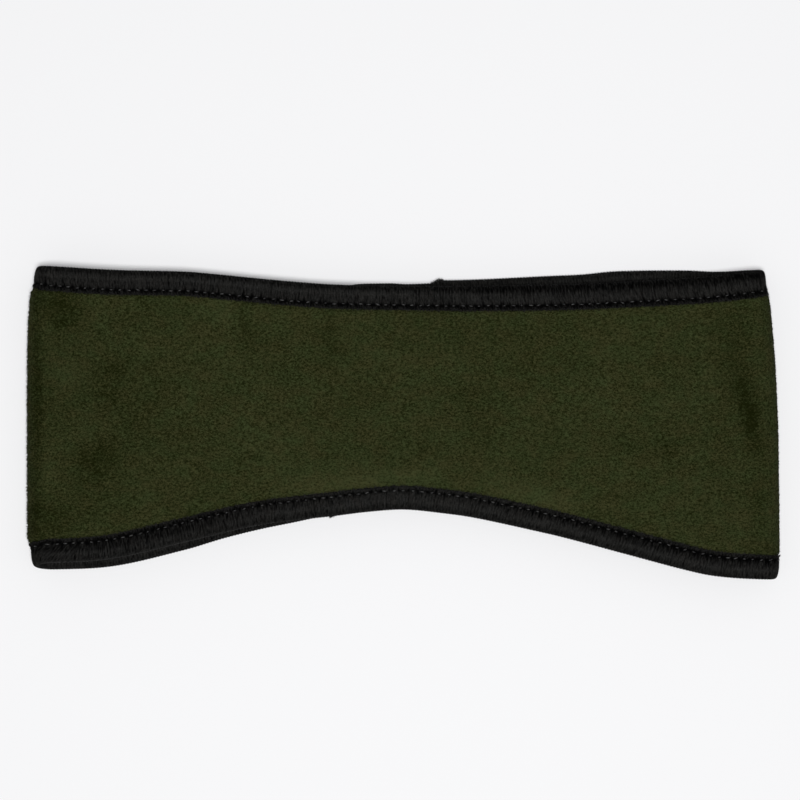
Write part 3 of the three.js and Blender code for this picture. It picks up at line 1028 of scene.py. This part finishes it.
def thread_material():
    material, tree, shader = new_material("black_thread", roughness=0.4, specular=0.4)
    place = tree.nodes.new("ShaderNodeTexCoord").outputs["Object"]
    colour, height = place_mottle(
        tree, place, thread_dark, thread_light, thread_light, thread_clumps, thread_contrast, "shade"
    )
    tree.links.new(colour, shader.inputs["Base Color"])
    bump(tree, shader, height, thread_relief)
    return material


thread_black = thread_material()
stitches = [
    new_piece(name, stitch_row(name, edge, joint), thread_black)
    for name, edge, joint in (("top_stitches", 1, top_joint), ("foot_stitches", 0, foot_joint))
]


# The back seam butts the fleece's two ends together. It is sewn across with the same thread, in
# stitches that lean one way and the other.
seam_pitch = 2.4 * MM
seam_lean = 0.35
seam_sink = 0.3 * MM  # how deep the stitches draw in under the fleece's face


def seam_stitches(name):
    foot, top = fleece_edges(0.0, 0.0)
    count = round((top - foot - 2 * tape_width) / seam_pitch)
    across = np.linspace(tape_width, top - foot - tape_width, count) / (top - foot)
    point, normal, along_run, along_across = wall_frame(np.zeros(count), across)
    lean = seam_lean * (1 - 2 * (np.arange(count) % 2))[:, None]
    along = unit(unit(along_run) + unit(along_across) * lean)
    height = fleece_half - seam_sink
    placed = []
    for side in (1, -1):
        up = side * normal
        placed.append((point + up * height, along, np.cross(up, along), up))
    seam = joined_copies(name, stitch, *(np.concatenate(parts) for parts in zip(*placed)))
    write_shade(seam, np.repeat(random.normal(0, thread_spread, 2 * count), len(stitch.vertices)))
    return seam


seam_mesh = seam_stitches("back_seam_stitches")
stitches.append(new_piece("back_seam_stitches", seam_mesh, thread_black))


# The tapes' raw edges are fuzzy with short broken yarns that lie over the fleece, and the cut end
# that shows at each joint is frayed.
yarn_width = 0.16 * MM
yarns_a_flap = 4200
yarn_rows = 0.5 * MM  # how far in from the tape's edge they start
yarn_stray = ((0, 0.5), (0.9, 0.2))  # how they lie along the tape and stand up: mean and spread
yarn_lengths = (0.3 * MM, 1.2 * MM)
frayed_yarns = (80, 520)  # at the end of the foot tape and of the top one
frayed_reach = 4.2 * MM  # how far from the cut end they start
frayed_rows = 1.5 * MM  # how far in from the tape's fold
frayed_stray = ((-0.1, 0.1, -0.3), (1.0, 1.0, 0.3))  # least and most, along, off and up
frayed_lengths = (0.3 * MM, 1.1 * MM)


def yarn_spikes(name, roots, directions, lengths):
    aside = unit(np.cross(directions, directions[:, [1, 2, 0]]))
    other = np.cross(directions, aside)
    tips = roots + directions * lengths[:, None]
    for points in (roots, tips):
        points[:, 2] = np.maximum(points[:, 2], on_floor + yarn_width)
    return joined_spikes(name, roots, tips, aside * yarn_width / 2, other * yarn_width / 2)


def fuzz_mesh(name, edge, joint):
    run = random.uniform(0, loop_run, yarns_a_flap)
    from_fold = tape_width - random.uniform(0, yarn_rows, yarns_a_flap)
    root, along, out, up = on_flap(run, edge, joint, 1, from_fold, 0)
    astray = random.normal(*yarn_stray, (yarns_a_flap, 2))
    directions = unit(along * astray[:, :1] - out + up * astray[:, 1:])
    lengths = random.uniform(*yarn_lengths, yarns_a_flap)
    return yarn_spikes(name, root, directions, lengths)


def frayed_mesh(name, edge, joint):
    count = frayed_yarns[edge]
    past = frayed_reach * random.uniform(0, 1, count)
    from_fold = random.uniform(0, frayed_rows, count)
    side = random.choice((1, -1), count)[:, None]
    root, along, out, up = on_flap(past + joint, edge, joint, 1, from_fold, 0)
    root = root - up * random.uniform(0, 2 * tape_half, (count, 1))
    astray = random.uniform(*frayed_stray, (count, 3))
    directions = unit(-along * astray[:, :1] + out * astray[:, 1:2] + up * side * astray[:, 2:])
    lengths = random.uniform(*frayed_lengths, count)
    return yarn_spikes(name, root, directions, lengths)


yarns = [
    new_piece(name, make(name, edge, joint), tape_black)
    for name, make, edge, joint in (
        ("top_edge_fuzz", fuzz_mesh, 1, top_joint),
        ("foot_edge_fuzz", fuzz_mesh, 0, foot_joint),
        ("top_frayed_end", frayed_mesh, 1, top_joint),
        ("foot_frayed_end", frayed_mesh, 0, foot_joint),
    )
]


# The band lies on a plain white surface, under a wide soft light, and is seen from straight above.
# The surface lies a hair under the cloth, so that the two never share a face.
surface_size = 6.0
surface_gap = 0.05 * MM
surface_white = (0.86, 0.86, 0.87)


def flat_square(name, size, height, colour):
    shape = bmesh.new()
    bmesh.ops.create_grid(shape, x_segments=1, y_segments=1, size=size / 2)
    bmesh.ops.translate(shape, verts=shape.verts, vec=(0, 0, height))
    mesh = bpy.data.meshes.new(name)
    shape.to_mesh(mesh)
    shape.free()
    material, _, shader = new_material(name, roughness=0.6, specular=0.2)
    shader.inputs["Base Color"].default_value = (*colour, 1)
    mesh.materials.append(material)
    square = bpy.data.objects.new(name, mesh)
    bpy.context.scene.collection.objects.link(square)
    return square


flat_square("white_surface", surface_size, -surface_gap, surface_white)


def soft_light(name, place, size, power):
    light = bpy.data.lights.new(name, "AREA")
    light.shape = "SQUARE"
    light.size = size
    light.energy = power
    lamp = bpy.data.objects.new(name, light)
    lamp.location = place
    lamp.rotation_euler = (-Vector(place)).to_track_quat("-Z", "Y").to_euler()
    bpy.context.scene.collection.objects.link(lamp)


soft_light("overhead_light", place=(0.03, -0.13, 1.8), size=0.42, power=28)

room_brightness = 0.22
world = bpy.data.worlds.new("white_room")
world.use_nodes = True
world.node_tree.nodes["Background"].inputs["Color"].default_value = (1, 1, 1, 1)
world.node_tree.nodes["Background"].inputs["Strength"].default_value = room_brightness
bpy.context.scene.world = world
bpy.context.scene.view_settings.view_transform = "Standard"

# The photograph is 265.5 mm wide at the middle of the folds, and its centre lies a little past the
# band's, towards its top edge. The camera looks straight down from where its lens takes that in.
photo_width = 265.5 * MM
photo_centre = Vector((-1.19 * MM, 7.59 * MM, 8.5 * MM))
camera_data = bpy.data.cameras.new("photo_camera")
camera_data.lens = 135
camera = bpy.data.objects.new("photo_camera", camera_data)
camera_height = photo_width * camera_data.lens / camera_data.sensor_width
camera.location = photo_centre + Vector((0, 0, camera_height))
bpy.context.scene.collection.objects.link(camera)
bpy.context.scene.camera = camera
